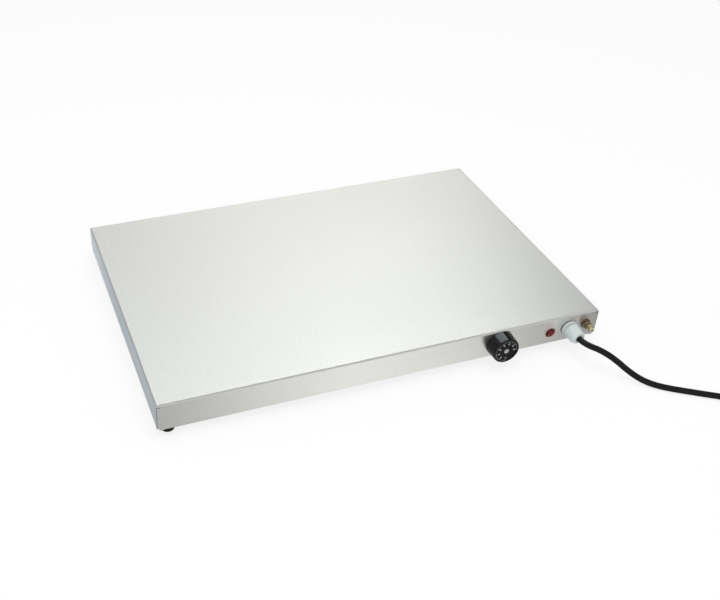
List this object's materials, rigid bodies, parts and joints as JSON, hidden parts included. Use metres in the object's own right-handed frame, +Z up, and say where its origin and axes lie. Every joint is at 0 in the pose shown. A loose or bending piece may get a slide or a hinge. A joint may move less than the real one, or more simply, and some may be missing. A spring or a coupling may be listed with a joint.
{
  "type": "electric food warmer tray",
  "caption": "Flat heated serving tray: folded steel casing on rubber feet, with thermostat knob, pilot lamp, cable gland, bonding terminal, supply cord and plug.",
  "frame": {"origin": "middle of the base, at floor level, of the box round everything but the free cord", "axes": "+X along the long side towards the gland end, +Y from the control front to the back, +Z up"},
  "size_m": [0.8593, 0.6104, 0.05],
  "materials": {
    "stainless": "fine satin grain along the length",
    "galvanised": "zinc-coated sheet, faint spangle",
    "steel_hardware": "zinc plated",
    "rubber": "matt moulded rubber",
    "aluminium": "mill finish",
    "element_sheath": "annealed stainless tube",
    "ceramic": "unglazed ceramic bead",
    "mineral_wool": "soft fibre mat",
    "bakelite": "moulded phenolic",
    "copper": "drawn copper",
    "knob_black": "glossy black moulding",
    "cap_grey": "light grey disc",
    "lens_red": "translucent red lens",
    "bezel": "bright ring",
    "ivory_plastic": "ivory moulding",
    "gland_grey": "pale grey nylon",
    "seal_rubber": "soft sealing rubber",
    "brass": "turned brass",
    "lead_brown": "insulated lead",
    "lead_blue": "insulated lead",
    "lead_green": "green and yellow insulated lead",
    "cord_black": "black rubber sheath",
    "tie_black": "black nylon tie",
    "plug_black": "black rubber plug",
    "plug_metal": "nickel plated"
  },
  "bodies": {
    "housing": {"casing": "stainless", "weld_studs": "steel_hardware", "base_plate": "galvanised", "base_screws": "steel_hardware", "foot_front_left": "rubber", "foot_front_right": "rubber", "foot_back_left": "rubber", "foot_back_right": "rubber", "foot_screws": "steel_hardware", "foot_washers": "steel_hardware", "foot_nuts": "steel_hardware", "heat_spreader": "aluminium", "heating_element": "element_sheath", "element_seals": "ceramic", "element_pins": "steel_hardware", "clamp_bars": "galvanised", "clamp_nuts": "steel_hardware", "tray_nuts": "steel_hardware", "insulation": "mineral_wool", "insulation_tray": "galvanised", "thermostat_body": "bakelite", "thermostat_plate": "galvanised", "thermostat_tabs": "brass", "thermostat_screws": "steel_hardware", "sensor_bulb": "copper", "bulb_clip": "galvanised", "capillary": "copper", "lamp_lens": "lens_red", "lamp_bezel": "bezel", "lamp_body": "ivory_plastic", "lamp_clip": "steel_hardware", "lamp_tabs": "brass", "gland_body": "gland_grey", "gland_nut": "gland_grey", "gland_seal": "seal_rubber", "gland_gasket": "seal_rubber", "gland_locknut": "gland_grey", "cord_end": "cord_black", "bond_stud": "brass", "bond_nuts": "brass", "bond_washers": "brass", "bond_lug": "steel_hardware", "terminal_block": "ivory_plastic", "terminal_inserts": "brass", "live_leads": "lead_brown", "neutral_leads": "lead_blue", "earth_leads": "lead_green", "supply_cord": "cord_black", "cord_coil": "cord_black", "cord_tail": "cord_black", "cord_tie": "tie_black", "plug_body": "plug_black", "plug_pins": "plug_metal", "plug_contacts": "plug_metal"},
    "knob_assembly": {"knob": "knob_black", "knob_spring": "steel_hardware", "knob_cap": "cap_grey", "thermostat_shaft": "steel_hardware"}
  },
  "joints": [
    {"name": "knob_turn", "type": "hinge", "parent": "housing", "child": "knob_assembly", "pos_m": [0.1535, -0.19, 0.03], "axis": [0, 1, 0], "range_deg": [0, 270]}
  ]
}
